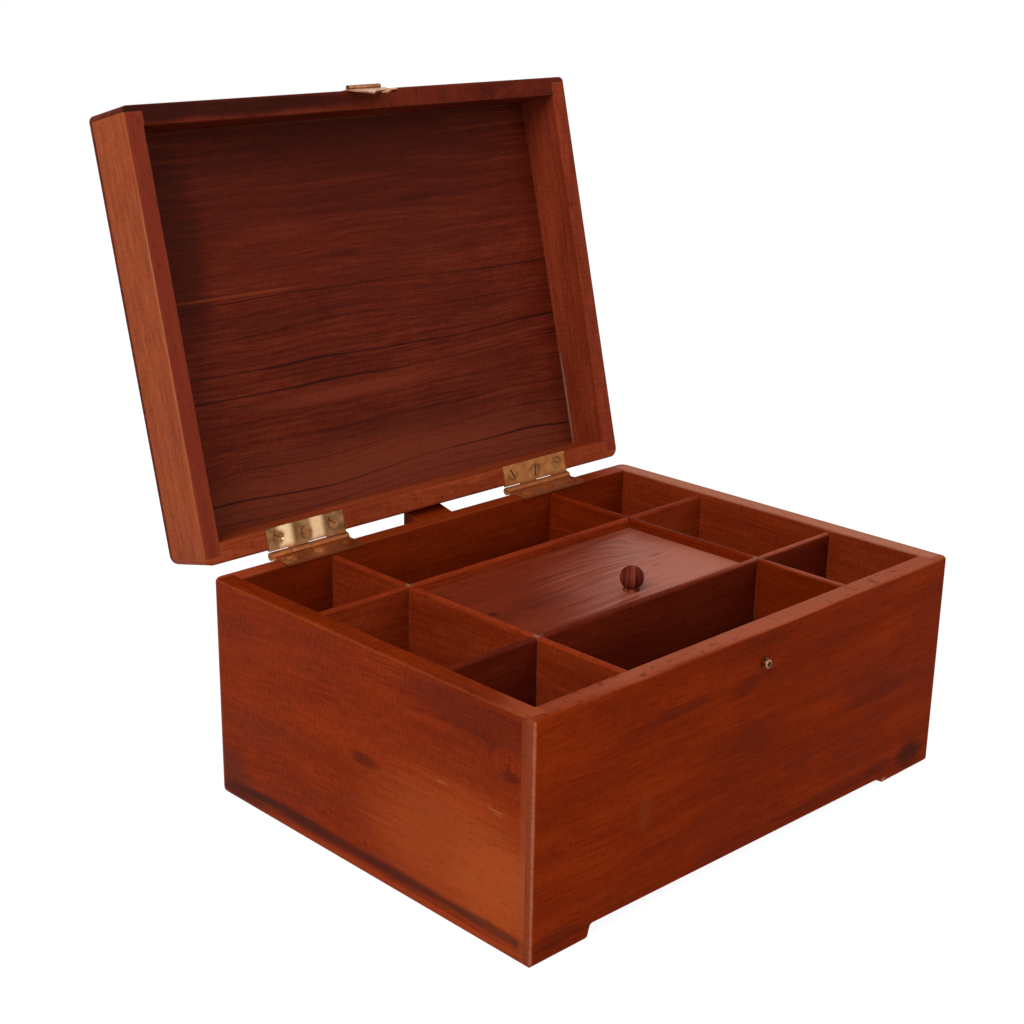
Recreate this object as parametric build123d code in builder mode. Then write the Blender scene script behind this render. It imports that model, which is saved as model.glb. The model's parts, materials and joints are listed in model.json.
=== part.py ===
from build123d import *
from math import cos, radians, sin
import os

# A hardwood desk box of nine compartments, with a hinged lid and a small lift-out inner lid.
# Millimetres. X runs along the box, -Y is its front, and it stands on Z = 0. The lid stands open
# against its stop block, and the origin is on the floor under the middle of the open box.

# Overall sizes of the closed box
box_length = 305.0
box_depth = 229.0
box_height = 118.0
lid_height = 34.0
rim_gap = 0.1
open_angle = 103.8

# Boards, and how far the front and back boards lap over the ends of the sides
board_thick = 10.5
box_lap = 4.2
lid_lap = 3.5

# Roundings
front_corner_radius = 3.0
rear_corner_radius = 5.5
box_arris = 2.0
lid_arris = 1.5
inner_arris = 0.8
lid_top_arris = 2.0
front_toe_radius = 3.0
rear_toe_radius = 10.0
left_toe_radius = 2.5
right_toe_radius = 7.0

# Feet: the long boards are cut away between them, to an ogee at each foot
left_foot_height = 8.0
left_foot_length = 33.5
left_ogee_run = 6.0
right_foot_height = 4.7
right_foot_length = 37.5
right_ogee_run = 14.0

# Bottom panel, let into grooves in all four boards
bottom_thick = 6.0
bottom_lift = 9.0
groove_depth = 4.0
expansion_gap = 0.5

# Dividers, housed in the boards and lapped over each other
divider_thick = 4.0
divider_drop = 2.5
divider_rounding = 1.8
housing_depth = 3.0
cross_divider_x = 81.3
long_divider_y = 45.2

# Lift-out inner lid over the middle compartment, on two ledges
inner_lid_thick = 4.0
inner_lid_drop = 4.8
inner_lid_gap = 0.4
inner_lid_arris = 0.5
ledge_depth = 4.0
ledge_height = 6.0
ledge_gap = 0.2

# Turned knob
knob_x = 5.8
knob_y = -25.3
knob_radius = 6.2
knob_centre_height = 6.7
knob_neck_radius = 3.2
knob_base_radius = 4.3
knob_base_height = 0.5
tenon_radius = 2.0
tenon_length = 3.0

# Lid: rails with a top panel laid over them and rebated into them
panel_lip = 4.0
panel_rebate = 3.0
panel_gap = 0.2

# Butt hinges: the pin line stands behind the back board and above its rim
pin_out = 3.4
pin_rise = 0.5
left_hinge_inset = 65.0
right_hinge_inset = 70.5
hinge_length = 51.0
leaf_reach = 14.5
leaf_thick = 1.2
leaf_gap = 0.3
barrel_radius = 2.25
hinge_pin_radius = 1.0
pin_clearance = 0.05
knuckle_count = 4
knuckle_gap = 0.2
swing_clearance = 0.3
mortise_gap = 0.1

# Slotted countersunk screws of the hinges
screw_spacing = 18.0
outer_screw_reach = 8.9
middle_screw_reach = 7.9
screw_head_radius = 3.1
screw_shank_radius = 1.3
screw_length = 9.0
slot_width = 0.9
slot_depth = 0.7
box_slot_turns = (20, -50, 65, -15, 80, 35)
lid_slot_turns = (-35, 5, -28, -15, 80, -62)

# Stop block glued to the back board, which holds the open lid
stop_width = 25.0
stop_depth = 14.2
stop_height = 30.0
stop_gap = 0.1

# Clasp on the front of the lid: a leaf, a pin and a sprung tongue with a hole
clasp_length = 22.5
clasp_plate_height = 12.0
clasp_corner_radius = 1.5
clasp_sheet = 0.8
clasp_barrel_radius = 1.3
clasp_pin_radius = 0.6
clasp_rise = 1.5
clasp_stand_off = 0.2
clasp_knuckle = 12.0
clasp_knuckle_gap = 0.15
clasp_screw_x = 8.0
clasp_screw_rise = 8.0
clasp_screw_head = 1.8
clasp_screw_shank = 0.8
clasp_screw_length = 6.0
clasp_slot_width = 0.6
clasp_slot_depth = 0.45
tongue_droop = 16.3
tongue_length = 24.8
tongue_shoulder = 13.2
tongue_waist = 8.5
tongue_waist_drop = 14.0
tongue_tip_radius = 7.0
tongue_curl_length = 7.0
tongue_curl_rise = 2.5
tongue_hole_drop = 18.6
tongue_hole_radius = 3.0

# Catch stud on the front board
stud_flange_radius = 2.5
stud_flange_height = 0.7
stud_shank_radius = 1.6
stud_neck_height = 1.7
stud_head_radius = 2.3
stud_head_height = 3.0
stud_head_rounding = 0.6
stud_dimple_radius = 1.2
stud_dimple_depth = 1.0
stud_nail_radius = 1.0
stud_nail_length = 7.0

# Sizes that follow from those above
inner_length = box_length - 2 * board_thick
inner_depth = box_depth - 2 * board_thick
half_length = box_length / 2
half_depth = box_depth / 2
left_foot_end = left_foot_length - half_length
right_foot_end = half_length - right_foot_length
left_hinge_x = left_hinge_inset - half_length
right_hinge_x = half_length - right_hinge_inset
bottom_top = bottom_lift + bottom_thick
divider_top = box_height - divider_drop
divider_height = divider_top - bottom_top
divider_mid = bottom_top + divider_height / 2
middle_length = 2 * cross_divider_x - divider_thick
middle_depth = 2 * long_divider_y - divider_thick
inner_lid_top = divider_top - inner_lid_drop
inner_lid_under = inner_lid_top - inner_lid_thick
lid_rim = box_height + rim_gap
lid_top = box_height + lid_height
rail_height = lid_top - panel_lip - lid_rim
pin_y = half_depth + pin_out
pin_z = box_height + pin_rise
knuckle_pitch = hinge_length / knuckle_count
clasp_y = -half_depth - clasp_stand_off - clasp_barrel_radius
clasp_z = box_height + clasp_rise
stud_z = clasp_z - tongue_hole_drop

# The box is drawn about the middle of its footprint, which lies in front of the origin, because
# the open lid reaches far back: from the head of the stud, the middle is half way to its top
opening = radians(open_angle)
lid_reach = pin_y - (half_depth + pin_y) * cos(opening) + (lid_height - pin_rise) * sin(opening)
middle_y = (lid_reach - half_depth - stud_head_height) / 2
box_frame = Plane((0, -middle_y, 0))

# The lid is drawn as if closed, in a frame that has swung open about the pin line
swung = Plane(box_frame.from_local_coords((0, pin_y, pin_z))).rotated((-open_angle, 0, 0))
lid_frame = Plane(swung.from_local_coords((0, -pin_y, -pin_z)), x_dir=swung.x_dir, z_dir=swung.z_dir)
lid_up = Axis(lid_frame.origin, lid_frame.z_dir)

# The tongue hangs from the clasp pin, dropped in past the face of the open lid
clasp_origin = lid_frame.from_local_coords((0, clasp_y, clasp_z))
clasp_frame = Plane(clasp_origin, x_dir=lid_frame.x_dir, z_dir=lid_frame.z_dir)
tongue_frame = clasp_frame.rotated((tongue_droop, 0, 0))


def section(frame, x):
    """The plane across a frame at x, drawn on in that frame's y and z."""
    origin = frame.from_local_coords((x, 0, 0))
    return Plane(origin, x_dir=frame.y_dir, z_dir=frame.x_dir)


def front_view(frame, y):
    """The plane facing a frame's front at y, drawn on in that frame's x and z."""
    origin = frame.from_local_coords((0, y, 0))
    return Plane(origin, x_dir=frame.x_dir, z_dir=-frame.y_dir)


# Solid forms that the boards are cut from, so that every rounding runs on from board to board

with BuildPart() as box_form:
    with BuildSketch(box_frame):
        Rectangle(box_length, box_depth)
        fillet(vertices().group_by(Axis.Y)[0], front_corner_radius)
        fillet(vertices().group_by(Axis.Y)[-1], rear_corner_radius)
    extrude(amount=box_height)
    fillet(faces().sort_by(Axis.Z)[-1].edges(), box_arris)
    for plane, width, near_radius, far_radius in (
        (section(box_frame, -half_length), box_depth, front_toe_radius, rear_toe_radius),
        (front_view(box_frame, half_depth), box_length, left_toe_radius, right_toe_radius),
    ):
        with BuildSketch(plane):
            with Locations((0, box_height / 2)):
                Rectangle(width, box_height)
            fillet(vertices().group_by(Axis.Y)[0].sort_by(Axis.X)[0], near_radius)
            fillet(vertices().group_by(Axis.Y)[0].sort_by(Axis.X)[-1], far_radius)
        extrude(amount=box_length, mode=Mode.INTERSECT)
    with BuildSketch(box_frame):
        Rectangle(inner_length, inner_depth)
    extrude(amount=box_height, mode=Mode.SUBTRACT)
    fillet(faces().sort_by(Axis.Z)[-1].inner_wires()[0].edges(), inner_arris)

with BuildPart() as lid_form:
    with BuildSketch(lid_frame.offset(lid_rim)):
        Rectangle(box_length, box_depth)
        fillet(vertices().group_by(Axis.Y)[0], front_corner_radius)
        fillet(vertices().group_by(Axis.Y)[-1], rear_corner_radius)
    extrude(amount=lid_top - lid_rim)
    fillet(faces().sort_by(lid_up)[-1].edges(), lid_top_arris)
    fillet(faces().sort_by(lid_up)[0].edges(), lid_arris)

with BuildPart() as lid_ring:
    add(lid_form.part)
    with BuildSketch(lid_frame.offset(lid_rim)):
        Rectangle(inner_length, inner_depth)
    extrude(amount=rail_height, mode=Mode.SUBTRACT)
    fillet(faces().sort_by(lid_up)[0].inner_wires()[0].edges(), inner_arris)


def long_board(frame, form, side, low, height, lap):
    """A front (-1) or back (1) board: full length, rabbeted at its ends for the side boards."""
    with BuildPart() as board:
        with BuildSketch(frame.offset(low)):
            with Locations((0, side * (half_depth - lap / 2))):
                Rectangle(box_length, lap)
            with Locations((0, side * (half_depth - board_thick / 2))):
                Rectangle(inner_length, board_thick)
        extrude(amount=height)
        add(form, mode=Mode.INTERSECT)
    return board.part


def side_board(frame, form, side, low, height, lap):
    """A left (-1) or right (1) board, which butts into the rabbets of the long boards."""
    with BuildPart() as board:
        with BuildSketch(frame.offset(low)):
            with Locations((side * (half_length - board_thick / 2), 0)):
                Rectangle(board_thick, box_depth - 2 * lap)
        extrude(amount=height)
        add(form, mode=Mode.INTERSECT)
    return board.part


def long_divider(side):
    """A divider along the box, with its rounded top notched for the cross dividers."""
    with BuildPart() as divider:
        with BuildSketch(section(box_frame, -inner_length / 2 - housing_depth)):
            with Locations((side * long_divider_y, bottom_top + divider_height / 2)):
                Rectangle(divider_thick, divider_height)
            fillet(vertices().group_by(Axis.Y)[-1], divider_rounding)
        extrude(amount=inner_length + 2 * housing_depth)
        with BuildSketch(box_frame.offset(divider_mid)):
            with Locations((0, side * long_divider_y)):
                with GridLocations(2 * cross_divider_x, 0, 2, 1):
                    Rectangle(divider_thick, divider_thick)
        extrude(amount=divider_height, mode=Mode.SUBTRACT)
    return divider


def cross_divider(side):
    """A divider across the box, notched from below to sit down over the long dividers."""
    with BuildPart() as divider:
        with BuildSketch(front_view(box_frame, inner_depth / 2 + housing_depth)):
            with Locations((side * cross_divider_x, bottom_top + divider_height / 2)):
                Rectangle(divider_thick, divider_height)
            fillet(vertices().group_by(Axis.Y)[-1], divider_rounding)
        extrude(amount=inner_depth + 2 * housing_depth)
        with BuildSketch(box_frame.offset(bottom_top)):
            with Locations((side * cross_divider_x, 0)):
                with GridLocations(0, 2 * long_divider_y, 1, 2):
                    Rectangle(divider_thick, divider_thick)
        extrude(amount=divider_mid - bottom_top, mode=Mode.SUBTRACT)
    return divider


def foot_cut_out():
    """What is cut away under the front and back boards, between the ogees of their feet."""
    with BuildPart() as cutter:
        with BuildSketch(front_view(box_frame, half_depth)):
            with BuildLine():
                left_top = left_foot_end + left_ogee_run
                right_top = right_foot_end - right_ogee_run
                Spline(
                    (left_foot_end, 0),
                    (left_foot_end + left_ogee_run / 2, left_foot_height / 2),
                    (left_top, left_foot_height),
                    tangents=[(1, 0), (0.3, 1), (1, 0)],
                )
                Line((left_top, left_foot_height), (right_top, right_foot_height))
                Spline(
                    (right_top, right_foot_height),
                    (right_foot_end - right_ogee_run / 2, right_foot_height / 2),
                    (right_foot_end, 0),
                    tangents=[(1, 0), (1, -0.9), (1, 0)],
                )
                Line((right_foot_end, 0), (left_foot_end, 0))
            make_face()
        extrude(amount=box_depth)
    return cutter.part


def countersunk_screw(head_radius, shank_radius, length, width, depth):
    """A slotted screw with its flat head at the origin, pointing down."""
    with BuildPart() as screw:
        with BuildSketch(Plane.XZ):
            with BuildLine():
                Polyline(
                    (0, 0),
                    (head_radius, 0),
                    (shank_radius, shank_radius - head_radius),
                    (shank_radius, -length + 2 * shank_radius),
                    (0, -length),
                    close=True,
                )
            make_face()
        revolve(axis=Axis.Z)
        with BuildSketch():
            Rectangle(2 * head_radius, width)
        extrude(amount=-depth, mode=Mode.SUBTRACT)
    return screw.part


def leaf_screw_points():
    """Where the three screws of a leaf stand, in the frame of its pin."""
    return (
        (-screw_spacing, -outer_screw_reach),
        (0, -middle_screw_reach),
        (screw_spacing, -outer_screw_reach),
    )


def leaf_screws(frames, turns):
    """The screws of the leaves in these frames, each with its slot turned its own way."""
    screw = countersunk_screw(screw_head_radius, screw_shank_radius, screw_length, slot_width, slot_depth)
    angles = iter(turns)
    with BuildPart() as screws:
        for frame in frames:
            with Locations(frame.offset(-leaf_gap / 2)):
                with Locations(*[Location((x, y, 0), (0, 0, next(angles))) for x, y in leaf_screw_points()]):
                    add(screw)
    return screws


def hinge_leaf(frame):
    """A leaf lying below its pin line, with the first and third knuckles of the barrel."""
    other_knuckles = [(n + 0.5) * knuckle_pitch - hinge_length / 2 for n in range(1, knuckle_count, 2)]
    with BuildPart() as leaf:
        with BuildSketch(section(frame, -hinge_length / 2)):
            Circle(barrel_radius)
            with Locations((-leaf_reach / 2, -leaf_gap / 2 - leaf_thick / 2)):
                Rectangle(leaf_reach, leaf_thick)
        extrude(amount=hinge_length)
        with BuildSketch(frame):
            with Locations(*[(x, 0) for x in other_knuckles]):
                Rectangle(knuckle_pitch + knuckle_gap, 2 * (barrel_radius + swing_clearance))
        extrude(amount=2 * barrel_radius, both=True, mode=Mode.SUBTRACT)
        with BuildSketch(section(frame, -hinge_length / 2)):
            Circle(hinge_pin_radius + pin_clearance)
        extrude(amount=hinge_length, mode=Mode.SUBTRACT)
        with Locations(frame.offset(-leaf_gap / 2)):
            with Locations(*leaf_screw_points()):
                CounterSinkHole(screw_shank_radius, screw_head_radius, 2 * leaf_thick, 90)
    return leaf


def hinge_pin(frame):
    """The pin through all the knuckles of a barrel."""
    with BuildPart() as pin:
        with BuildSketch(section(frame, -hinge_length / 2)):
            Circle(hinge_pin_radius)
        extrude(amount=hinge_length)
    return pin


def mortises(frame):
    """The recesses that a rim needs for both hinges, as deep as the far face of a leaf."""
    with BuildPart() as cutter:
        with BuildSketch(frame.offset(pin_z)):
            with Locations((left_hinge_x, pin_y), (right_hinge_x, pin_y)):
                Rectangle(hinge_length + 2 * mortise_gap, 2 * leaf_reach)
        extrude(amount=leaf_gap / 2 + leaf_thick, both=True)
    return cutter.part


# Hinge frames: each leaf hangs below its own; the lid's leaves are the same part turned over

hinge_points = [(x, pin_y, pin_z) for x in (left_hinge_x, right_hinge_x)]
box_leaf_frames = [Plane(box_frame.from_local_coords(point)) for point in hinge_points]
lid_leaf_frames = [Plane(f.origin, x_dir=(-1, 0, 0), z_dir=-lid_frame.z_dir) for f in box_leaf_frames]
hinge_left_box_leaf, hinge_right_box_leaf = [hinge_leaf(frame) for frame in box_leaf_frames]
hinge_left_lid_leaf, hinge_right_lid_leaf = [hinge_leaf(frame) for frame in lid_leaf_frames]
hinge_left_pin, hinge_right_pin = [hinge_pin(frame) for frame in box_leaf_frames]
box_leaf_screws = leaf_screws(box_leaf_frames, box_slot_turns)
lid_leaf_screws = leaf_screws(lid_leaf_frames, lid_slot_turns)

# Dividers and bottom panel

long_divider_front = long_divider(-1)
long_divider_rear = long_divider(1)
cross_divider_left = cross_divider(-1)
cross_divider_right = cross_divider(1)

with BuildPart() as bottom_groove:
    with BuildSketch(box_frame.offset(bottom_lift)):
        Rectangle(inner_length + 2 * groove_depth, inner_depth + 2 * groove_depth)
    extrude(amount=bottom_thick)

with BuildPart() as bottom_panel:
    with BuildSketch(box_frame.offset(bottom_lift)):
        Rectangle(
            inner_length + 2 * (groove_depth - expansion_gap),
            inner_depth + 2 * (groove_depth - expansion_gap),
        )
    extrude(amount=bottom_thick)

# Catch stud: a turned pin with a flange, a neck and a dimpled head, driven into the front board

stud_frame = Plane(box_frame.from_local_coords((0, -half_depth, stud_z)))

with BuildPart() as catch_stud:
    with BuildSketch(stud_frame):
        with BuildLine():
            Polyline(
                (0, stud_nail_length),
                (stud_nail_radius, stud_nail_length - stud_nail_radius),
                (stud_nail_radius, 0),
                (stud_flange_radius, 0),
                (stud_flange_radius, -stud_flange_height),
                (stud_shank_radius, -stud_flange_height),
                (stud_shank_radius, -stud_neck_height),
                (stud_head_radius, -stud_neck_height),
                (stud_head_radius, -stud_head_height),
                (stud_dimple_radius, -stud_head_height),
                (0, -stud_head_height + stud_dimple_depth),
                close=True,
            )
        make_face()
        fillet(vertices().group_by(Axis.Y)[0].sort_by(Axis.X)[-1], stud_head_rounding)
    revolve(axis=Axis(stud_frame.origin, stud_frame.y_dir))

# Carcass boards

cut_out = foot_cut_out()

with BuildPart() as front_board:
    add(long_board(box_frame, box_form.part, -1, 0, box_height, box_lap))
    for cutter in (cut_out, bottom_groove.part, cross_divider_left.part, cross_divider_right.part):
        add(cutter, mode=Mode.SUBTRACT)
    add(catch_stud.part, mode=Mode.SUBTRACT)

with BuildPart() as back_board:
    add(long_board(box_frame, box_form.part, 1, 0, box_height, box_lap))
    for cutter in (cut_out, bottom_groove.part, cross_divider_left.part, cross_divider_right.part):
        add(cutter, mode=Mode.SUBTRACT)
    add(mortises(box_frame), mode=Mode.SUBTRACT)
    add(box_leaf_screws.part, mode=Mode.SUBTRACT)

with BuildPart() as left_side:
    add(side_board(box_frame, box_form.part, -1, 0, box_height, box_lap))
    for cutter in (bottom_groove.part, long_divider_front.part, long_divider_rear.part):
        add(cutter, mode=Mode.SUBTRACT)

with BuildPart() as right_side:
    add(side_board(box_frame, box_form.part, 1, 0, box_height, box_lap))
    for cutter in (bottom_groove.part, long_divider_front.part, long_divider_rear.part):
        add(cutter, mode=Mode.SUBTRACT)

# Stop block: its top rises from the rim to meet the back face of the open lid at its rear edge

stop_run = (stop_depth - pin_out + pin_out * cos(opening)) / sin(opening)
stop_top = pin_z + pin_out * sin(opening) + stop_run * cos(opening) - stop_gap

with BuildPart() as lid_stop_block:
    with BuildSketch(section(box_frame, -stop_width / 2)):
        with BuildLine():
            Polyline(
                (half_depth, box_height - stop_height),
                (half_depth + stop_depth, box_height - stop_height),
                (half_depth + stop_depth, stop_top),
                (half_depth, box_height - box_arris),
                close=True,
            )
        make_face()
    extrude(amount=stop_width)

# Inner lid, its ledges and its knob


def ledge(side):
    """A strip glued to a long divider, under one edge of the inner lid."""
    with BuildPart() as strip:
        with BuildSketch(box_frame.offset(inner_lid_under - ledge_height)):
            with Locations((0, side * (middle_depth - ledge_depth) / 2)):
                Rectangle(middle_length - 2 * ledge_gap, ledge_depth)
        extrude(amount=ledge_height)
    return strip


inner_lid_ledge_front = ledge(-1)
inner_lid_ledge_rear = ledge(1)

knob_frame = Plane(box_frame.from_local_coords((knob_x, knob_y, inner_lid_top)))

with BuildPart() as inner_lid_knob:
    with BuildSketch(front_view(knob_frame, 0)):
        with BuildLine():
            neck_z = knob_centre_height - (knob_radius**2 - knob_neck_radius**2) ** 0.5
            Polyline(
                (0, knob_centre_height + knob_radius),
                (0, -tenon_length),
                (tenon_radius, -tenon_length),
                (tenon_radius, 0),
                (knob_base_radius, 0),
                (knob_base_radius, knob_base_height),
                (knob_neck_radius, neck_z),
            )
            ThreePointArc(
                (knob_neck_radius, neck_z),
                (knob_radius, knob_centre_height),
                (0, knob_centre_height + knob_radius),
            )
        make_face()
    revolve(axis=Axis(knob_frame.origin, knob_frame.z_dir))

with BuildPart() as inner_lid_panel:
    with BuildSketch(box_frame.offset(inner_lid_under)):
        Rectangle(middle_length - 2 * inner_lid_gap, middle_depth - 2 * inner_lid_gap)
    extrude(amount=inner_lid_thick)
    fillet(faces().sort_by(Axis.Z)[-1].edges(), inner_lid_arris)
    add(inner_lid_knob.part, mode=Mode.SUBTRACT)

# Clasp


def clasp_knuckles(frame, low, high):
    """Cutter for the barrel from one x to another, with its end gaps and room to swing."""
    reach = 2 * (clasp_barrel_radius + swing_clearance)
    with BuildPart() as cutter:
        with BuildSketch(section(frame, low - clasp_knuckle_gap)):
            Rectangle(2 * reach, reach)
        extrude(amount=high - low + 2 * clasp_knuckle_gap)
    return cutter.part


clasp_half = clasp_length / 2
knuckle_half = clasp_knuckle / 2
plate_back = clasp_barrel_radius + clasp_stand_off

with BuildPart() as clasp_leaf:
    with BuildSketch(section(clasp_frame, -clasp_half)):
        Circle(clasp_barrel_radius)
        with Locations((plate_back - clasp_sheet / 2, clasp_plate_height / 2)):
            Rectangle(clasp_sheet, clasp_plate_height)
    extrude(amount=clasp_length)
    top_corners = edges().filter_by(Axis(clasp_origin, clasp_frame.y_dir)).group_by(lid_up)[-1]
    fillet(top_corners, clasp_corner_radius)
    add(clasp_knuckles(clasp_frame, -knuckle_half, knuckle_half), mode=Mode.SUBTRACT)
    with BuildSketch(section(clasp_frame, -clasp_half)):
        Circle(clasp_pin_radius + pin_clearance)
    extrude(amount=clasp_length, mode=Mode.SUBTRACT)
    with Locations(front_view(clasp_frame, plate_back - clasp_sheet)):
        with Locations((-clasp_screw_x, clasp_screw_rise), (clasp_screw_x, clasp_screw_rise)):
            CounterSinkHole(clasp_screw_shank, clasp_screw_head, 2 * clasp_sheet, 90)

with BuildPart() as clasp_screws:
    clasp_screw = countersunk_screw(
        clasp_screw_head, clasp_screw_shank, clasp_screw_length, clasp_slot_width, clasp_slot_depth
    )
    with Locations(front_view(clasp_frame, plate_back - clasp_sheet)):
        with Locations((-clasp_screw_x, clasp_screw_rise), (clasp_screw_x, clasp_screw_rise)):
            add(clasp_screw)

with BuildPart() as clasp_pin:
    with BuildSketch(section(clasp_frame, -clasp_half)):
        Circle(clasp_pin_radius)
    extrude(amount=clasp_length)

with BuildPart() as clasp_tongue:
    with BuildSketch(section(tongue_frame, -tongue_shoulder)):
        with BuildLine():
            curl_radius = (tongue_curl_length**2 + tongue_curl_rise**2) / (2 * tongue_curl_rise)
            sheet_mid = clasp_barrel_radius - clasp_sheet / 2
            Line((sheet_mid, 0), (sheet_mid, tongue_curl_length - tongue_length))
            RadiusArc(
                (sheet_mid, tongue_curl_length - tongue_length),
                (sheet_mid - tongue_curl_rise, -tongue_length),
                -curl_radius,
            )
        trace(line_width=clasp_sheet)
        Circle(clasp_barrel_radius)
    extrude(amount=2 * tongue_shoulder)
    with BuildSketch(front_view(tongue_frame, clasp_half)):
        Rectangle(clasp_knuckle, 2 * clasp_barrel_radius + 2 * swing_clearance)
        with BuildLine():
            shoulder = -clasp_barrel_radius - swing_clearance
            tip = tongue_tip_radius - tongue_length
            Polyline((-tongue_tip_radius, tip), (-tongue_waist, -tongue_waist_drop))
            Spline(
                (-tongue_waist, -tongue_waist_drop),
                (-tongue_shoulder, shoulder),
                tangents=[(-0.2, 1), (-0.2, 1)],
            )
            Line((-tongue_shoulder, shoulder), (tongue_shoulder, shoulder))
            Spline(
                (tongue_shoulder, shoulder),
                (tongue_waist, -tongue_waist_drop),
                tangents=[(-0.2, -1), (-0.2, -1)],
            )
            Line((tongue_waist, -tongue_waist_drop), (tongue_tip_radius, tip))
            ThreePointArc((tongue_tip_radius, tip), (0, -tongue_length), (-tongue_tip_radius, tip))
        make_face()
    extrude(amount=clasp_length, mode=Mode.INTERSECT)
    with BuildSketch(section(tongue_frame, -clasp_half)):
        Circle(clasp_pin_radius + pin_clearance)
    extrude(amount=clasp_length, mode=Mode.SUBTRACT)
    with BuildSketch(front_view(tongue_frame, clasp_half)):
        with Locations((0, -tongue_hole_drop)):
            Circle(tongue_hole_radius)
    extrude(amount=clasp_length, mode=Mode.SUBTRACT)

# Lid boards

rails = (lid_rim, rail_height, lid_lap)

with BuildPart() as lid_front_rail:
    add(long_board(lid_frame, lid_ring.part, -1, *rails))
    add(clasp_screws.part, mode=Mode.SUBTRACT)

with BuildPart() as lid_back_rail:
    add(long_board(lid_frame, lid_ring.part, 1, *rails))
    add(mortises(lid_frame), mode=Mode.SUBTRACT)
    add(lid_leaf_screws.part, mode=Mode.SUBTRACT)

with BuildPart() as lid_left_rail:
    add(side_board(lid_frame, lid_ring.part, -1, *rails))

with BuildPart() as lid_right_rail:
    add(side_board(lid_frame, lid_ring.part, 1, *rails))

with BuildPart() as lid_top_panel:
    with BuildSketch(lid_frame.offset(lid_top - panel_lip)):
        Rectangle(box_length, box_depth)
    extrude(amount=panel_lip)
    with BuildSketch(lid_frame.offset(lid_top - panel_lip)):
        Rectangle(inner_length - 2 * panel_gap, inner_depth - 2 * panel_gap)
    extrude(amount=-panel_rebate)
    add(lid_form.part, mode=Mode.INTERSECT)

pieces = {
    "front_board": front_board,
    "back_board": back_board,
    "left_side": left_side,
    "right_side": right_side,
    "bottom_panel": bottom_panel,
    "long_divider_front": long_divider_front,
    "long_divider_rear": long_divider_rear,
    "cross_divider_left": cross_divider_left,
    "cross_divider_right": cross_divider_right,
    "inner_lid_ledge_front": inner_lid_ledge_front,
    "inner_lid_ledge_rear": inner_lid_ledge_rear,
    "inner_lid_panel": inner_lid_panel,
    "inner_lid_knob": inner_lid_knob,
    "lid_stop_block": lid_stop_block,
    "catch_stud": catch_stud,
    "hinge_left_box_leaf": hinge_left_box_leaf,
    "hinge_right_box_leaf": hinge_right_box_leaf,
    "hinge_left_lid_leaf": hinge_left_lid_leaf,
    "hinge_right_lid_leaf": hinge_right_lid_leaf,
    "hinge_left_pin": hinge_left_pin,
    "hinge_right_pin": hinge_right_pin,
    "box_leaf_screws": box_leaf_screws,
    "lid_leaf_screws": lid_leaf_screws,
    "lid_front_rail": lid_front_rail,
    "lid_back_rail": lid_back_rail,
    "lid_left_rail": lid_left_rail,
    "lid_right_rail": lid_right_rail,
    "lid_top_panel": lid_top_panel,
    "clasp_leaf": clasp_leaf,
    "clasp_screws": clasp_screws,
    "clasp_pin": clasp_pin,
    "clasp_tongue": clasp_tongue,
}

os.makedirs("parts", exist_ok=True)
for name, piece in pieces.items():
    piece.part.label = name
    export_step(piece.part, f"parts/{name}.step")
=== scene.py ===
import json
from math import cos, radians, sin

import bpy
from mathutils import Matrix, Vector


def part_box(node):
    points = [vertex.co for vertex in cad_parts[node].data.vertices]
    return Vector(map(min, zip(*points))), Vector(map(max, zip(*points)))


# A desk box of oiled reddish hardwood, with brass butt hinges and a brass clasp. The boards come
# from the CAD model, and this script gives them their finish, the light and the view.

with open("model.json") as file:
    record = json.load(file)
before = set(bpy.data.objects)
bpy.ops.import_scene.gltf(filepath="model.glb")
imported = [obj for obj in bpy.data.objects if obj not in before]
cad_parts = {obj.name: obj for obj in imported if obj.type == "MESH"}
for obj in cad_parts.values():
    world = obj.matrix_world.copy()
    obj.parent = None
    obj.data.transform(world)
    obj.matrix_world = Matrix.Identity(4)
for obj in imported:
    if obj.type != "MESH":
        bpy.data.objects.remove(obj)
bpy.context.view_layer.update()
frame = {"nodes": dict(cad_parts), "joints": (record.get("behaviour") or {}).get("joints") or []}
bpy.ops.object.select_all(action="DESELECT")


def linear(code):
    """An sRGB hex colour as linear red, green, blue and alpha."""
    channels = [int(code[i : i + 2], 16) / 255 for i in (0, 2, 4)]
    return [c / 12.92 if c <= 0.04045 else ((c + 0.055) / 1.055) ** 2.4 for c in channels] + [1.0]


def feed(tree, node, inputs):
    """Sets a node's inputs by name. One given as a node or a socket is linked."""
    for key, value in inputs.items():
        socket = next(s for s in node.inputs if key in (s.identifier, s.name))
        if isinstance(value, bpy.types.Node):
            value = next(s for s in value.outputs if s.enabled)
        if isinstance(value, bpy.types.NodeSocket):
            tree.links.new(value, socket)
        else:
            socket.default_value = value


def add(tree, kind, *inputs, **named):
    """Adds a node. Its inputs come in their order or by name, and its settings by name."""
    made = tree.nodes.new("ShaderNode" + kind)
    inputs = dict(zip([socket.identifier for socket in made.inputs], inputs))
    for name, value in named.items():
        if hasattr(made, name):
            setattr(made, name, value)
        else:
            inputs[name] = value
    feed(tree, made, inputs)
    return made


def new_material(name):
    """A material, its tree and its shader."""
    material = bpy.data.materials.new(name)
    material.use_nodes = True
    return material, material.node_tree, material.node_tree.nodes["Principled BSDF"]


def finish(node, material):
    """Gives a CAD piece its finish in every slot it has."""
    for slot in frame["nodes"][node].material_slots:
        slot.material = material


# Box coordinates are millimetres from the middle of the box's footprint, with the lid shut.
# For a lid board they are found by turning the open lid back about its pin.

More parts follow.
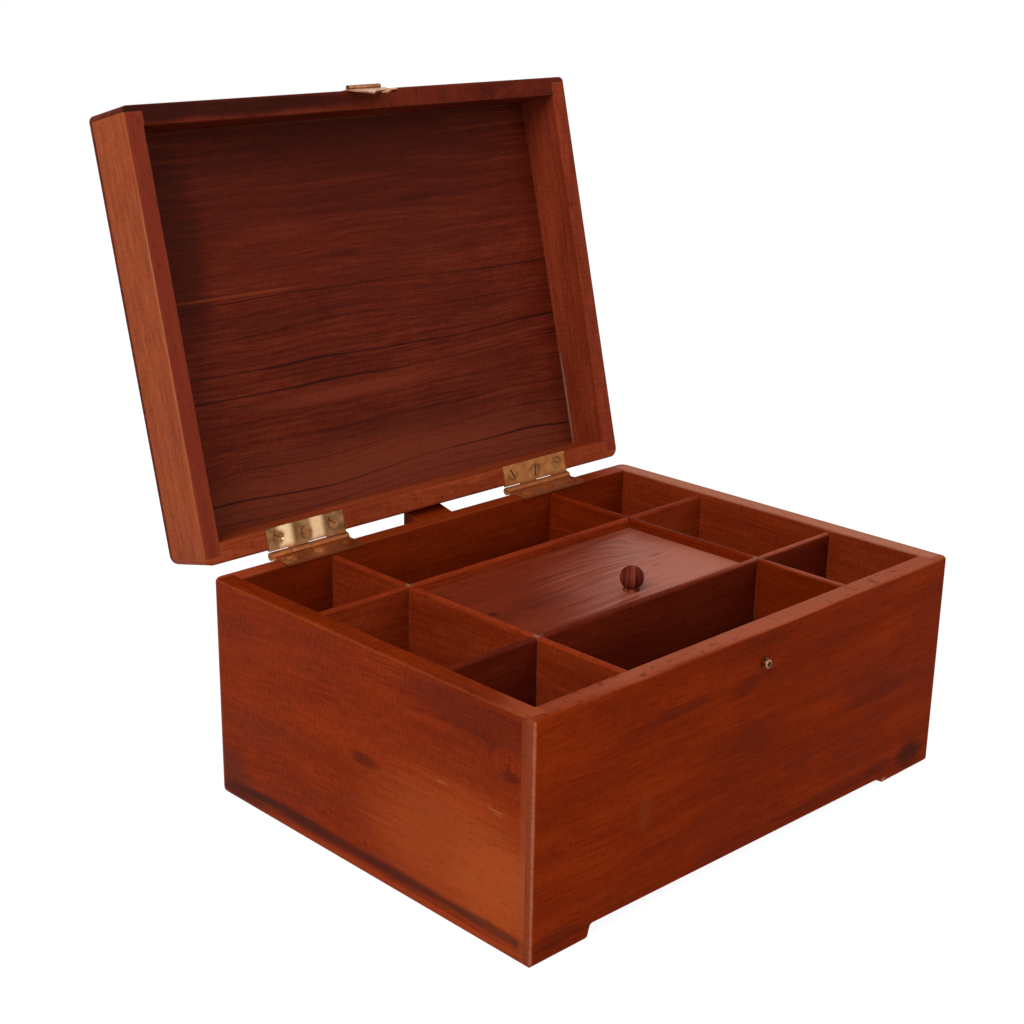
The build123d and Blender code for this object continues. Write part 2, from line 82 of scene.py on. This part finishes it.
MM = 1000.0
middle = Vector((0, (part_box("left_side")[0].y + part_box("left_side")[1].y) / 2, 0))
hinge = next(joint for joint in frame["joints"] if joint["name"] == "lid_hinge")
pin = Vector(hinge["pos_m"]) - middle
lid_turn = -radians(hinge["range_deg"][0])
lid_shift = pin - Matrix.Rotation(lid_turn, 3, "X") @ pin
lid_start = -(Matrix.Rotation(lid_turn, 3, "X") @ middle)


def box_place(tree, in_lid):
    """Box coordinates at each point of a piece, lying in the box or in the lid."""
    here = add(tree, "TexCoord").outputs["Object"]
    shift = [c * MM for c in (lid_start + lid_shift if in_lid else -middle)]
    turn = (lid_turn if in_lid else 0, 0, 0)
    return add(tree, "Mapping", here, shift, turn, (MM, MM, MM))


def near_to(tree, place, centre, reach):
    """How far a point is from a centre: 0 there, and 1 at the reach in mm along each axis."""
    offset = add(tree, "Mapping", place, Location=centre, Scale=reach, vector_type="TEXTURE")
    return add(tree, "VectorMath", offset, operation="LENGTH").outputs["Value"]


# Setting of a Map Range that eases in and out
SOFT = {"interpolation_type": "SMOOTHSTEP"}
# A mark is solid out to this share of its reach, and fades from there
SOLID = 0.35


def stains_and_painted_light(tree, place, marks, pattern, ragged):
    """Layers of stains, worn places and glue, and of painted shade, painted highlights and painted
    sheen: soft ovals whose edges a pattern makes ragged.
    """
    edge = add(tree, "Math", pattern, ragged, -ragged / 2, operation="MULTIPLY_ADD")
    layers = []
    for centre, reach, tint, strength in marks:
        distance = add(tree, "Math", near_to(tree, place, centre, reach), edge, operation="ADD")
        share = add(tree, "MapRange", distance, 1.0, SOLID, 0.0, strength, **SOFT)
        layers.append((tint, share))
    return layers


def painted(tree, colour, layers):
    """A colour with layers laid over it, each a tint and its share."""
    for tint, share in layers:
        over = {"Factor_Float": share, "A_Color": colour, "B_Color": linear(tint)}
        colour = add(tree, "Mix", **over, data_type="RGBA")
    return colour


# Turns that bring a board's own length to X, and where the heart of its log lay, so that the rings
# cross the board's wide face as straight lines

ALONG_X = (0, 0, 0)
ALONG_Y = (0, 0, radians(-90))
UPRIGHT = (0, radians(90), 0)
HEART_BELOW = (60, 240)
HEART_BESIDE = (300, 40)

# Patterns of the wood: their length along the grain and width across it in mm, and their detail

BANDS = (190, 13, 2)
STREAKS = (80, 2.4, 2)
THREADS = (16, 0.8, 2)
# Ray flecks stand across the grain
FLECKS = (1.2, 5, 1)
# Open pores are short dark dashes. Real ones are 0.2 mm wide, too fine to show, so they are coarser
PORES = (5.0, 0.45, 0)

# Sizes of the waves in the log and the clouds in its tone, and how far in mm a wave bends the grain

WAVES = [1 / mm for mm in (110, 50, 50)]
CLOUDS = [1 / mm for mm in (60, 24, 24)]
BEND = 12.0

# Lightness at which a wood has its darkest, middle and lightest tone
WOOD_STOPS = (0.15, 0.5, 0.85)

VEIN_TINT = "1d0a08"
PORE_TINT = "240a05"

# Bare wood on the arrises: its colour, its share, and how far in it reaches in metres

BARE_WOOD = "b5683c"
BARE_SHARE = 0.25
BARE_REACH = 0.0012

# Metres from the bottom of the grain to its top
GRAIN_DEPTH = 0.0001


def oiled_hardwood(
    name,
    seed,
    tones,
    turn=ALONG_X,
    heart=HEART_BELOW,
    in_lid=False,
    figure=(0.55, 0.5, 0.45, 0.55, 0.4),
    marks=(),
    veins=(),
    knots=(),
    shine=0.03,
    satin=(0.42, 0.56),
):
    """Old oiled teak-like hardwood: fine straight reddish grain, darker bands and open pores.

    The rings are measured from the heart of the log, so the grain runs on over every edge and
    shows as arcs on the ends. The arrises are rubbed pale, and the oil leaves an uneven satin.
    The figure is how much bands, clouds, streaks, threads and flecks each count in the tone, and
    the seed shifts them all, so that no two boards are alike.
    """
    material, tree, shader = new_material(name)
    place = box_place(tree, in_lid)
    grain = add(tree, "Mapping", place, Rotation=turn)

    # Slow waves in the log bend the grain
    wave_place = add(tree, "Mapping", grain, Location=(seed * 3.1, seed * 1.7, 0), Scale=WAVES)
    wave = add(tree, "TexNoise", wave_place, Scale=1.0, Detail=1.0).outputs["Color"]
    bend = add(tree, "VectorMath", wave, (0.5, 0.5, 0.5), operation="SUBTRACT")
    bent = add(tree, "VectorMath", bend, (0, BEND, BEND), grain, operation="MULTIPLY_ADD")
    split = add(tree, "SeparateXYZ", bent).outputs
    along, across = split["X"], split["Y"]

    # Rings of the log, swollen round its knots
    from_heart = add(tree, "Mapping", bent, Location=(0, *heart), Scale=(0, 1, 1))
    ring = add(tree, "VectorMath", from_heart, operation="LENGTH").outputs["Value"]
    for centre, reach, push in knots:
        away = near_to(tree, place, centre, reach)
        swell = add(tree, "MapRange", away, 1.0, 0.0, 0.0, push, **SOFT)
        ring = add(tree, "Math", ring, swell, operation="ADD")

    def fibres(length, width, detail):
        """Streaks of the wood, of a length along the grain and a width across it, in mm."""
        lengthwise = add(tree, "Math", along, 1 / length, seed * 5.3, operation="MULTIPLY_ADD")
        crosswise = add(tree, "Math", ring, 1 / width, operation="MULTIPLY")
        here = add(tree, "CombineXYZ", lengthwise, crosswise)
        return add(tree, "TexNoise", here, Scale=1.0, Detail=detail)

    bands, streaks, threads, flecks = map(fibres, *zip(BANDS, STREAKS, THREADS, FLECKS))
    cloud_place = add(tree, "Mapping", grain, Location=(seed * 7.0, 0, 0), Scale=CLOUDS)
    clouds = add(tree, "TexNoise", cloud_place, Scale=1.0, Detail=3)

    # How light each point is: every pattern swings about a half
    lightness = 0.5 - 0.5 * sum(figure)
    for pattern, count in zip((bands, clouds, streaks, threads, flecks), figure):
        lightness = add(tree, "Math", pattern, count, lightness, operation="MULTIPLY_ADD")
    ramp = add(tree, "ValToRGB", lightness)
    ramp.color_ramp.elements.new(WOOD_STOPS[1])
    for stop, position, tone in zip(ramp.color_ramp.elements, WOOD_STOPS, tones):
        stop.position, stop.color = position, linear(tone)

    layers = stains_and_painted_light(tree, place, marks, streaks, 0.8)

    # Long dark veins at their own places across the board in mm. Each is solid out to its half
    # width and gone at 2.6 of them, and the clouds break it up.
    for line, half_width, strength in veins:
        aside = add(tree, "Math", across, line, operation="SUBTRACT")
        aside = add(tree, "Math", aside, operation="ABSOLUTE")
        aside = add(tree, "Math", clouds, 2.4 * half_width, aside, operation="MULTIPLY_ADD")
        vein = add(tree, "MapRange", aside, 2.6 * half_width, half_width, 0.0, strength, **SOFT)
        layers.append((VEIN_TINT, vein))

    # Open pores, where their pattern peaks
    pores = add(tree, "MapRange", fibres(*PORES), 0.64, 0.8, 0.0, 0.4, **SOFT)
    layers.append((PORE_TINT, pores))

    # Rubbed arrises, found where a rounded normal parts from the true one, and patchy
    rounded = add(tree, "Bevel", BARE_REACH, samples=6)
    surface = add(tree, "NewGeometry").outputs["Normal"]
    facing = add(tree, "VectorMath", rounded, surface, operation="DOT_PRODUCT").outputs["Value"]
    rubbed = add(tree, "MapRange", facing, 0.99, 0.9, 0.0, BARE_SHARE, **SOFT)
    patchy = add(tree, "MapRange", streaks, 0.35, 0.6, 0.3, 1.0, **SOFT)
    layers.append((BARE_WOOD, add(tree, "Math", rubbed, patchy, operation="MULTIPLY")))
    colour = painted(tree, ramp, layers)

    # Satin: the oil has sunk in more along the soft streaks, and the pores lie open
    sheen = add(tree, "MapRange", clouds, 0.3, 0.7, *satin, **SOFT)
    relief = add(tree, "Math", pores, -1.0, threads, operation="MULTIPLY_ADD")
    bump = add(tree, "Bump", Height=relief, Strength=0.3, Distance=GRAIN_DEPTH)
    feed(tree, shader, {"Base Color": colour, "Roughness": sheen, "Normal": bump})
    feed(tree, shader, {"IOR": 1.45, "Specular IOR Level": shine})
    return material


# Sizes of the tarnished patches and of the file marks, and how deep in metres a file mark is

TARNISH = [1 / mm for mm in (7, 5, 5)]
FILE_MARKS = [1 / mm for mm in (6, 0.25, 0.25)]
FILE_DEPTH = 0.00006

# Tarnish at which a brass is as brown, and as yellow, as it gets
BRASS_STOPS = (0.35, 0.65)


def worn_brass(name, tones, roughness, in_lid=False, marks=()):
    """Filed brass, unlacquered: yellow where it is handled, brown and duller where it is not. Marks
    laid over it add dirt, painted highlights and painted shade.
    """
    material, tree, shader = new_material(name)
    place = box_place(tree, in_lid)
    tarnish_place = add(tree, "Mapping", place, Scale=TARNISH)
    tarnish = add(tree, "TexNoise", tarnish_place, Scale=1.0, Detail=4)
    ramp = add(tree, "ValToRGB", tarnish)
    for stop, position, tone in zip(ramp.color_ramp.elements, BRASS_STOPS, tones):
        stop.position, stop.color = position, linear(tone)
    colour = painted(tree, ramp, stains_and_painted_light(tree, place, marks, tarnish, 0.6))

    # Brown places are duller, and the file marks run along the leaf
    dull, bright = roughness + 0.12, roughness - 0.06
    gloss = add(tree, "MapRange", tarnish, 0.3, 0.7, dull, bright, **SOFT)
    filed_place = add(tree, "Mapping", place, Scale=FILE_MARKS)
    filed = add(tree, "TexNoise", filed_place, Scale=1.0, Detail=2)
    bump = add(tree, "Bump", Height=filed, Strength=0.2, Distance=FILE_DEPTH)
    feed(tree, shader, {"Base Color": colour, "Roughness": gloss, "Normal": bump, "Metallic": 1.0})
    return material


# Woods of the box: darkest, middle and lightest tone of each

RED = ("581702", "712003", "872c07")
WARM = ("5c1903", "742304", "8c2f0a")
DARK = ("441209", "5e1f10", "742e1a")
RAIL = ("60210f", "7f301a", "974026")
# LIT and SHADE are lit and shaded copies of one red: painted light and painted shade for boards
# whose faces turn to the lamp or away from it
LIT = ("651e0a", "802a0e", "983a18")
SHADE = ("4a1408", "5e1b0a", "72260f")
BACK = ("70280f", "8c381c", "a44c2c")
ORANGE = ("70301a", "8b4022", "a2502e")
PINK = ("54190b", "6c2410", "82321b")
KNOB = ("34100a", "5c2014", "7e3826")

# Marks are a centre and a reach in box coordinates, a tint and its strength. Most lie on these
# planes: the left side, the front, the rim, the inside of the lid's panel and the inner lid's top.

LEFT, FRONT, RIM, PANEL, INNER = -152, -114, 118.4, 145, 111

# Glue squeezed out in the corners of the compartments, on both boards that meet there

FRONT_LEFT = ("long_divider_front", "cross_divider_left")
FRONT_RIGHT = ("long_divider_front", "cross_divider_right")
REAR_LEFT = ("long_divider_rear", "cross_divider_left")
GLUE = [
    (FRONT_LEFT, ((-83.3, -47.2, 100), (0.8, 0.8, 22), "7c5040", 0.35)),
    (FRONT_RIGHT, ((79.3, -47.2, 92), (0.8, 0.8, 26), "7c4c38", 0.3)),
    (("long_divider_front", "right_side"), ((142, -47.2, 100), (0.8, 0.8, 20), "744838", 0.3)),
    (("back_board", "cross_divider_left"), ((-83.3, 104, 104), (0.8, 0.8, 14), "744838", 0.3)),
    (REAR_LEFT, ((-83.3, 43.2, 100), (0.8, 0.8, 16), "6c4838", 0.25)),
    (FRONT_LEFT, ((-81.3, -45.2, 116), (3.5, 3.5, 1.6), "9a7460", 0.5)),
    (FRONT_RIGHT, ((81.3, -45.2, 116), (3.5, 3.5, 1.6), "9a7460", 0.45)),
    (REAR_LEFT, ((-81.3, 45.2, 116), (3.5, 3.5, 1.6), "9a7460", 0.5)),
]

left_marks = [
    # Paler and more orange towards the front, darker under the rim
    ((LEFT, -68, 38), (8, 85, 46), "a2461a", 0.55),
    ((LEFT, -98, 28), (8, 44, 34), "a84e20", 0.35),
    ((LEFT, -80, 108), (8, 70, 17), "4c1508", 0.5),
    # A dark streak, and the eye of a knot
    ((LEFT, -4, 60.4), (4, 14, 4.2), "401207", 0.6),
    ((LEFT, -101, 88), (4, 7, 3.2), "3c1208", 0.6),
    # Dark with oil and dirt along the foot, but rubbed at the lower edge
    ((LEFT, 104, 14), (8, 24, 22), "4a1c10", 0.5),
    ((LEFT, 92, 6), (8, 28, 8), "3c160c", 0.6),
    ((LEFT, 40, 9.5), (8, 70, 4.2), "38140a", 0.8),
    ((LEFT, -30, 10), (8, 62, 3.8), "3c160b", 0.75),
    ((LEFT, -90, 10), (8, 44, 4.2), "401a10", 0.7),
    ((LEFT, -15, 2.2), (6, 130, 4.5), "9c3a14", 0.6),
    # Scratches
    ((LEFT, -58.5, 69), (3, 6, 0.45), "a06438", 0.6),
    ((LEFT, -92, 68.2), (3, 6, 0.45), "a06438", 0.6),
    ((LEFT, -94, 66.8), (3, 5, 0.4), "a06438", 0.45),
    # Edge of the rim, and the front corner, paler: partly rubbed, partly a painted highlight on the
    # arrises
    ((-152.2, 0, 117.4), (0.9, 400, 0.9), "944c2a", 0.25),
    ((-147, -112, RIM), (12, 34, 2.2), "984628", 0.8),
    ((LEFT, -108.6, 60), (4, 2.2, 160), "8c4226", 0.4),
]

front_marks = [
    # Rim, paler: a painted sheen, strongest towards the right
    ((60, -109, RIM), (300, 14, 2.6), "9c4e34", 1.0),
    # Darker places in the wood
    ((-60, FRONT, 95), (30, 6, 4.5), "45140a", 0.4),
    ((-13.5, FRONT, 91), (15, 6, 5), "45140a", 0.35),
    ((-8.7, FRONT, 64), (18, 6, 10), "4a160a", 0.3),
    ((90, FRONT, 60), (34, 6, 14), "4c180c", 0.35),
    ((34, FRONT, 39), (18, 6, 6), "4a160a", 0.3),
    # Dirt along the foot, and a chip in it down to bare wood
    ((132, FRONT, 11), (17, 6, 10), "2c140c", 0.7),
    ((104, FRONT, 12), (18, 6, 6), "3c160c", 0.45),
    ((60, FRONT, 11), (50, 6, 5), "44140a", 0.45),
    ((110.3, FRONT, 2.9), (3.0, 5, 1.6), "b07850", 0.7),
    ((-134, FRONT, 10), (22, 6, 6), "40150b", 0.45),
    # A rubbed place, and the left corner paler along its whole height: partly rubbed, partly a
    # painted highlight on the rounded corner
    ((-81, FRONT, 51), (6, 6, 13), "7a381a", 0.3),
    ((-152.4, -112.3, 60), (1.6, 2.4, 160), "80402a", 0.6),
    ((-151.7, -113.9, 60), (1.1, 1.1, 160), "a0664a", 0.6),
]

back_marks = [
    # Rim, palest at its ends
    ((0, 109, RIM), (420, 13, 2.4), "80300f", 0.6),
    ((-142, 109, RIM), (34, 13, 2.4), "983e22", 0.9),
    ((142, 109, RIM), (28, 13, 2.4), "94402a", 0.9),
]

inner_lid_marks = [
    # Painted sheen: pale and rosy at the front and round the knot
    ((90, -40, INNER), (150, 95, 4), "ac6450", 1.0),
    ((92, 26, INNER), (46, 32, 4), "9c543e", 0.6),
    # Dark streaks, and one broad darker place
    ((-71, -3, INNER), (7, 3, 3), "2c100a", 0.7),
    ((55, 2, INNER), (7, 1.4, 3), "35140c", 0.6),
    ((44, -8, INNER), (4, 1.0, 3), "35140c", 0.5),
    ((-74, 30, INNER), (6, 9, 3), "33140e", 0.5),
    ((-39, -5, INNER), (26, 12, 3), "54190d", 0.4),
]

panel_marks = [
    # Painted shade: darker towards the front and at the left end
    ((0, -125, PANEL), (230, 100, 8), "260d08", 0.6),
    ((0, -55, PANEL), (260, 58, 8), "541b0f", 0.4),
    ((-118, -45, PANEL), (22, 85, 8), "2c0f09", 0.5),
    # Dark and pale streaks
    ((45, -56, PANEL), (28, 2.4, 6), "2c0e0a", 0.5),
    ((-11, -31, PANEL), (20, 4, 6), "33110c", 0.4),
    ((-50, -47, PANEL), (40, 7, 6), "702818", 0.35),
    ((-85, -16.5, PANEL), (60, 1.1, 4), "8c3c1c", 0.5),
    ((-20, 44, PANEL), (85, 5.5, 6), "7c3420", 0.5),
    ((-60, 0, PANEL), (60, 9, 6), "3a140e", 0.35),
    ((10, 66, PANEL), (110, 10, 6), "40180f", 0.35),
    # Painted light: paler towards the hinges
    ((0, 100, PANEL), (260, 37, 6), "793622", 0.58),
]

# Dark veins of the lid's panel: place across it, half width and strength

panel_veins = [
    (-13.2, 0.45, 0.8),
    (-4.0, 0.5, 0.25),
    (4.4, 0.7, 0.5),
    (8.0, 0.45, 0.25),
    (12.0, 0.5, 0.35),
    (16.5, 0.4, 0.3),
    (20.0, 0.4, 0.3),
    (24.3, 0.7, 0.85),
    (27.5, 0.4, 0.3),
    (30.5, 0.45, 0.4),
    (33.5, 0.4, 0.3),
    (36.8, 0.65, 0.85),
    (41.0, 0.4, 0.25),
    (50.6, 0.5, 0.45),
    (54.5, 0.4, 0.3),
    (58.0, 0.45, 0.25),
    (63.0, 0.55, 0.4),
    (69.0, 0.4, 0.3),
    (76.0, 0.7, 0.45),
    (81.0, 0.4, 0.3),
    (90.5, 0.65, 0.8),
    (95.0, 0.45, 0.35),
    (99.5, 0.5, 0.4),
]

boards = {
    "front_board": dict(
        seed=1.0, tones=RED, figure=(0.5, 0.6, 0.4, 0.6, 0.28), marks=front_marks, shine=0.012
    ),
    "back_board": dict(seed=2.3, tones=RED, marks=back_marks),
    "left_side": dict(
        # The grain of this board falls by 3 degrees, and bends round a knot near the front
        turn=(radians(3), 0, radians(-90)),
        seed=3.1,
        tones=WARM,
        figure=(0.5, 0.6, 0.4, 0.55, 0.5),
        marks=left_marks,
        knots=[((LEFT, -99, 89), (30, 24, 15), 14.0)],
    ),
    "right_side": dict(
        # A painted sheen all along its rim
        turn=ALONG_Y, seed=4.7, tones=LIT, marks=[((147, 0, RIM), (15, 420, 2.4), "ac664c", 1.0)]
    ),
    "bottom_panel": dict(heart=HEART_BESIDE, seed=5.2, tones=DARK),
    "lid_stop_block": dict(seed=6.1, tones=RED),
    "long_divider_front": dict(
        # A painted sheen on the right part of its top
        seed=7.4, tones=SHADE, marks=[((115, -45.2, 116.4), (160, 8, 2.2), "9c4c36", 1.0)]
    ),
    "long_divider_rear": dict(seed=8.8, tones=LIT),
    "cross_divider_left": dict(turn=ALONG_Y, seed=9.5, tones=LIT),
    "cross_divider_right": dict(
        turn=ALONG_Y,
        seed=10.2,
        tones=RED,
        # A painted sheen along the front part of its top
        marks=[((81.3, -92, 116.4), (8, 66, 2.2), "984a32", 0.9)],
    ),
    "inner_lid_ledge_front": dict(seed=11.0, tones=DARK),
    "inner_lid_ledge_rear": dict(seed=12.0, tones=DARK),
    "inner_lid_panel": dict(
        heart=HEART_BESIDE,
        seed=13.3,
        tones=PINK,
        figure=(0.5, 0.55, 0.15, 0.45, 0.35),
        marks=inner_lid_marks,
        knots=[((95, 14, INNER), (85, 26, 20), 22.0)],
        shine=0.06,
        satin=(0.36, 0.48),
    ),
    "inner_lid_knob": dict(
        turn=UPRIGHT,
        heart=(90, 60),
        seed=14.6,
        tones=KNOB,
        figure=(0.4, 0.3, 1.7, 0.7, 0.0),
        # A dark streak down the front, and a pale rubbed place at the foot
        marks=[
            ((3.4, -31, 117.5), (0.5, 3, 4.5), "1c0806", 0.85),
            ((5.8, -25.3, 108.6), (4.6, 4.6, 1.2), "b47a66", 0.6),
        ],
    ),
    "lid_front_rail": dict(
        seed=15.1, tones=DARK, in_lid=True, marks=[((-110, -110, 118), (170, 7, 4), "280c08", 0.8)]
    ),
    "lid_back_rail": dict(seed=16.4, tones=BACK, in_lid=True),
    "lid_left_rail": dict(
        turn=ALONG_Y,
        seed=17.7,
        tones=ORANGE,
        figure=(0.35, 0.3, 0.5, 0.9, 0.3),
        in_lid=True,
        # Darker rim, with its outer edge paler: partly rubbed, partly a painted highlight
        marks=[
            ((-147, 0, 117.5), (14, 400, 1.9), "752a1a", 0.95),
            ((-152.4, 0, 118.3), (0.8, 180, 0.8), "b27450", 0.6),
        ],
    ),
    "lid_right_rail": dict(
        turn=ALONG_Y,
        seed=18.2,
        tones=RAIL,
        in_lid=True,
        marks=[((142, 78, 144.5), (1.3, 40, 1.5), "8c6c5c", 0.7)],
    ),
    "lid_top_panel": dict(
        heart=HEART_BESIDE,
        seed=19.9,
        tones=DARK,
        figure=(0.5, 0.45, 0.6, 0.8, 0.3),
        in_lid=True,
        marks=panel_marks,
        veins=panel_veins,
    ),
}
for board, looks in boards.items():
    glue = [mark for joined, mark in GLUE if board in joined]
    looks["marks"] = [*looks.get("marks", ()), *glue]
    finish(board, oiled_hardwood("oiled_hardwood_" + board, **looks))


def screw_rings(xs, z):
    """Dirt in the countersinks around the three screws of a leaf."""
    return [((x, y, z), (5.0, 5.0, 3), "32180a", 0.95) for x, y in zip(xs, (109, 110, 109))]


# Screws of each hinge along the box, and how high its lid leaf is with the lid shut, in mm

LEFT_SCREWS = (-105.5, -87.5, -69.5)
RIGHT_SCREWS = (64, 82, 100)
LID_LEAF = 118.6

# The knuckles of both hinges are brown all along
KNUCKLES = ((0, 118.2, 118.5), (4000, 5.2, 5.2), "8c4c28", 0.95)

# Brasses: the brown of the tarnish, and the yellow under it

PIN_BRASS = ("5c3018", "86502c")
CLASP_BRASS = ("8c5c34", "b88a58")

fittings = {
    "hinge_left_lid_leaf": dict(
        tones=("684426", "8a6644"),
        roughness=0.34,
        in_lid=True,
        # Two broad bright places on it are painted highlights, reflections of the lamp
        marks=[
            ((-101.4, 110, 119), (6.4, 40, 8), "deba8e", 0.95),
            ((-80.6, 110, 119), (6.0, 40, 8), "dcb48a", 0.9),
            *screw_rings(LEFT_SCREWS, LID_LEAF),
            KNUCKLES,
        ],
    ),
    # The right lid leaf and both box leaves have brown-orange tones that are partly their tarnish
    # and partly a painted reflection of the wood round them
    "hinge_right_lid_leaf": dict(
        tones=("8c522a", "a0683a"),
        roughness=0.42,
        in_lid=True,
        marks=[*screw_rings(RIGHT_SCREWS, LID_LEAF), KNUCKLES],
    ),
    "hinge_left_box_leaf": dict(
        tones=("a0562c", "c07a44"),
        roughness=0.4,
        marks=[*screw_rings(LEFT_SCREWS, RIM), KNUCKLES],
    ),
    "hinge_right_box_leaf": dict(
        tones=("a05c34", "bc7c48"),
        roughness=0.42,
        marks=[*screw_rings(RIGHT_SCREWS, RIM), KNUCKLES],
    ),
    "hinge_left_pin": dict(tones=PIN_BRASS, roughness=0.4),
    "hinge_right_pin": dict(tones=PIN_BRASS, roughness=0.4),
    "box_leaf_screws": dict(tones=("c07840", "e0a468"), roughness=0.3),
    "lid_leaf_screws": dict(tones=("74482a", "96643a"), roughness=0.36, in_lid=True),
    "clasp_leaf": dict(
        tones=CLASP_BRASS,
        roughness=0.32,
        in_lid=True,
        # Brown along the barrel, and dark at its left end
        marks=[
            ((6, -116, 119.5), (20, 3.4, 3.4), "864a30", 0.8),
            ((-11.3, -116, 119.5), (0.8, 3, 3), "301410", 0.9),
        ],
    ),
    "clasp_screws": dict(tones=CLASP_BRASS, roughness=0.34, in_lid=True),
    "clasp_pin": dict(tones=PIN_BRASS, roughness=0.4, in_lid=True),
    "clasp_tongue": dict(
        tones=("b07850", "dcae84"),
        roughness=0.32,
        in_lid=True,
        marks=[((3, -116, 119.5), (17, 3.2, 3.2), "8a5034", 0.8)],
    ),
    "catch_stud": dict(
        tones=("8e5a40", "ae7e60"),
        roughness=0.4,
        # Painted shade in the middle of the head, and darker round its foot
        marks=[
            ((0, -117.6, 100.9), (2.1, 1.6, 2.1), "200a04", 0.95),
            ((0, -113.4, 100.9), (9, 3.4, 9), "4a1c0e", 0.9),
        ],
    ),
}
for fitting, looks in fittings.items():
    finish(fitting, worn_brass("worn_brass_" + fitting, **looks))

# Studio: a white sweep of floor, one broad soft lamp from the upper left and a weak one in front

WHITE = (1, 1, 1, 1)
# Strength of the paper's glow, and its share of what the paper shows
GLOW, GLOW_SHARE = 1.16, 0.8
# Strength of the sky as a light: it shows as white at a strength of 1
SKY_LIGHT = 0.45


def looked_at(tree):
    """1 for what the camera sees, plainly, in a reflection or through glass, and 0 for light."""
    ray = add(tree, "LightPath").outputs
    mirrored = add(tree, "Math", ray["Is Camera Ray"], ray["Is Glossy Ray"], operation="MAXIMUM")
    return add(tree, "Math", mirrored, ray["Is Transmission Ray"], operation="MAXIMUM")


def white_paper(name):
    """Seamless white paper: matt, and it reads as plain white wherever no shadow falls."""
    material, tree, shader = new_material(name)
    paper = {"Base Color": linear("f4f4f4"), "Roughness": 0.9, "Specular IOR Level": 0.1}
    feed(tree, shader, paper)
    glow = add(tree, "Emission", WHITE, GLOW)
    share = add(tree, "Math", looked_at(tree), GLOW_SHARE, operation="MULTIPLY")
    mixed = add(tree, "MixShader", share, shader, glow)
    feed(tree, tree.nodes["Material Output"], {"Surface": mixed})
    return material


# The floor is a hair below the feet, so that no two faces lie together
bpy.ops.mesh.primitive_plane_add(size=12, location=(0, 0, -0.0002))
floor = bpy.context.object
floor.name = "floor"
bpy.ops.object.transform_apply(location=True, rotation=True, scale=True)
floor.data.materials.append(white_paper("seamless_white_paper"))

world = bpy.data.worlds.new("studio")
bpy.context.scene.world = world
world.use_nodes = True
sky = world.node_tree
strength = add(sky, "MapRange", looked_at(sky), 0.0, 1.0, SKY_LIGHT, 1.0)
feed(sky, sky.nodes["Background"], {"Color": WHITE, "Strength": strength})


def soft_lamp(name, place, aim, size, power):
    """A square softbox that faces a point of the box."""
    lamp = bpy.data.lights.new(name, "AREA")
    lamp.size = size
    lamp.energy = power
    holder = bpy.data.objects.new(name, lamp)
    bpy.context.scene.collection.objects.link(holder)
    holder.location = place
    holder.rotation_euler = (Vector(aim) - Vector(place)).to_track_quat("-Z", "Y").to_euler()


soft_lamp("softbox_left", place=(-1.5, -0.5, 1.5), aim=(0, 0, 0.12), size=1.2, power=29)
soft_lamp("softbox_front", place=(0.6, -1.9, 0.9), aim=(0, 0, 0.1), size=1.2, power=9)

# The camera stands to the left of the front, a little above the rim: its place in metres from the
# middle of the box, the way it looks, and a roll of a third of a degree

CAMERA_PLACE = Vector((-0.6162, -0.5697, 0.4199))
azimuth, elevation, roll = radians(42.794), radians(18.875), 0.006
ahead = Vector((sin(azimuth) * cos(elevation), cos(azimuth) * cos(elevation), -sin(elevation)))
right = Vector((cos(azimuth), -sin(azimuth), 0))
up = right.cross(ahead)
rolled_right = cos(roll) * right + sin(roll) * up
rolled_up = cos(roll) * up - sin(roll) * right
turn = Matrix((rolled_right, rolled_up, -ahead)).transposed()

camera = bpy.data.cameras.new("camera")
camera.sensor_width = 36
camera.lens = 61.173
camera.shift_x = 0.0506
camera.shift_y = 0.0235
camera.clip_start = 0.01
view = bpy.data.objects.new("camera", camera)
bpy.context.scene.collection.objects.link(view)
view.matrix_world = Matrix.Translation(middle + CAMERA_PLACE) @ turn.to_4x4()
bpy.context.scene.camera = view
bpy.context.scene.view_settings.view_transform = "Standard"
